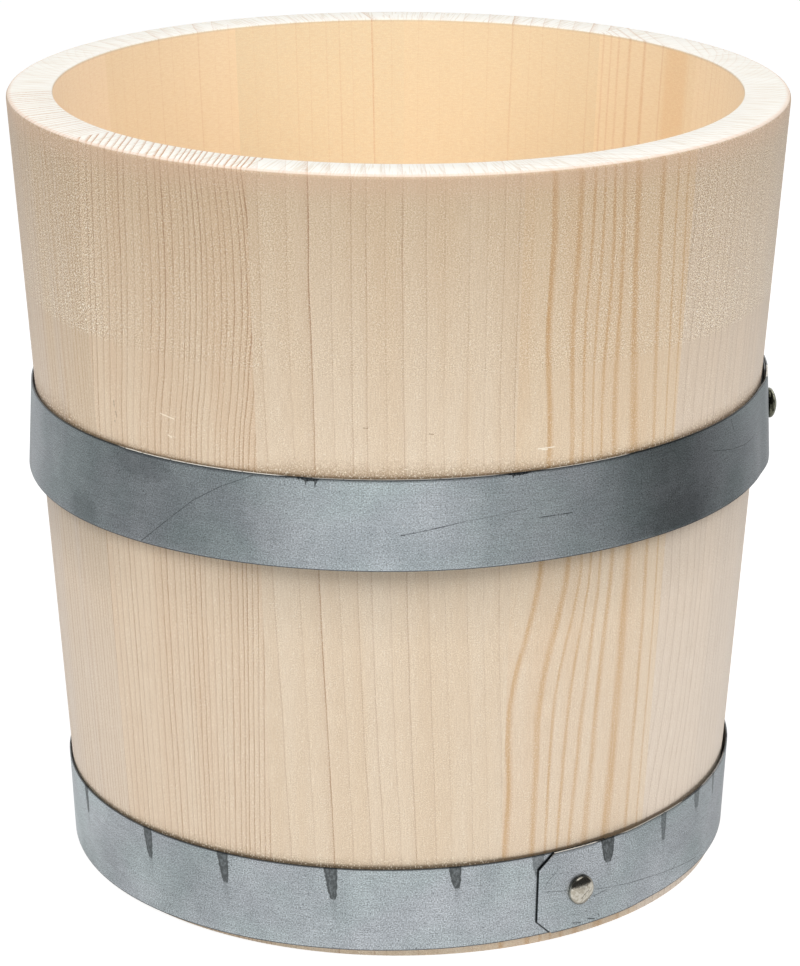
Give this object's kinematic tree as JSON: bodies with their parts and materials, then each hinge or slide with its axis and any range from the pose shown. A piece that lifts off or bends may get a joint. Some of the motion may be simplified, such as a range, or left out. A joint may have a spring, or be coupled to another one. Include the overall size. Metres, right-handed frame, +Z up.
{
  "type": "wooden bucket",
  "caption": "Open coopered bucket of tapered softwood staves round a jointed bottom, held by two riveted flat steel hoops; no handle or lid.",
  "frame": {"origin": "middle of the foot, on the surface the bucket stands on", "axes": "+Z up, from the foot to the rim; -Y the front, with the lap of the lower hoop to its right; +X right"},
  "size_m": [0.2198, 0.2198, 0.224],
  "materials": {
    "stave_spruce": "bare planed spruce, pale, fine brown growth rings",
    "bottom_spruce": "bare planed spruce, growth rings along the boards",
    "dowel_beech": "bare turned beech",
    "upper_hoop_steel": "galvanised strip, dull blue grey, fine scratches",
    "lower_hoop_steel": "galvanised strip, lighter, fine zinc grain and dark driver marks",
    "rivet_steel": "bright plated, smooth"
  },
  "bodies": {
    "root": {"stave_01": "stave_spruce", "stave_02": "stave_spruce", "stave_03": "stave_spruce", "stave_04": "stave_spruce", "stave_05": "stave_spruce", "stave_06": "stave_spruce", "stave_07": "stave_spruce", "stave_08": "stave_spruce", "stave_09": "stave_spruce", "stave_10": "stave_spruce", "stave_11": "stave_spruce", "bottom_board_front": "bottom_spruce", "bottom_board_middle": "bottom_spruce", "bottom_board_back": "bottom_spruce", "dowel_01": "dowel_beech", "dowel_02": "dowel_beech", "dowel_03": "dowel_beech", "dowel_04": "dowel_beech", "upper_hoop": "upper_hoop_steel", "upper_hoop_rivet": "rivet_steel", "lower_hoop": "lower_hoop_steel", "lower_hoop_rivet": "rivet_steel"}
  },
  "joints": []
}
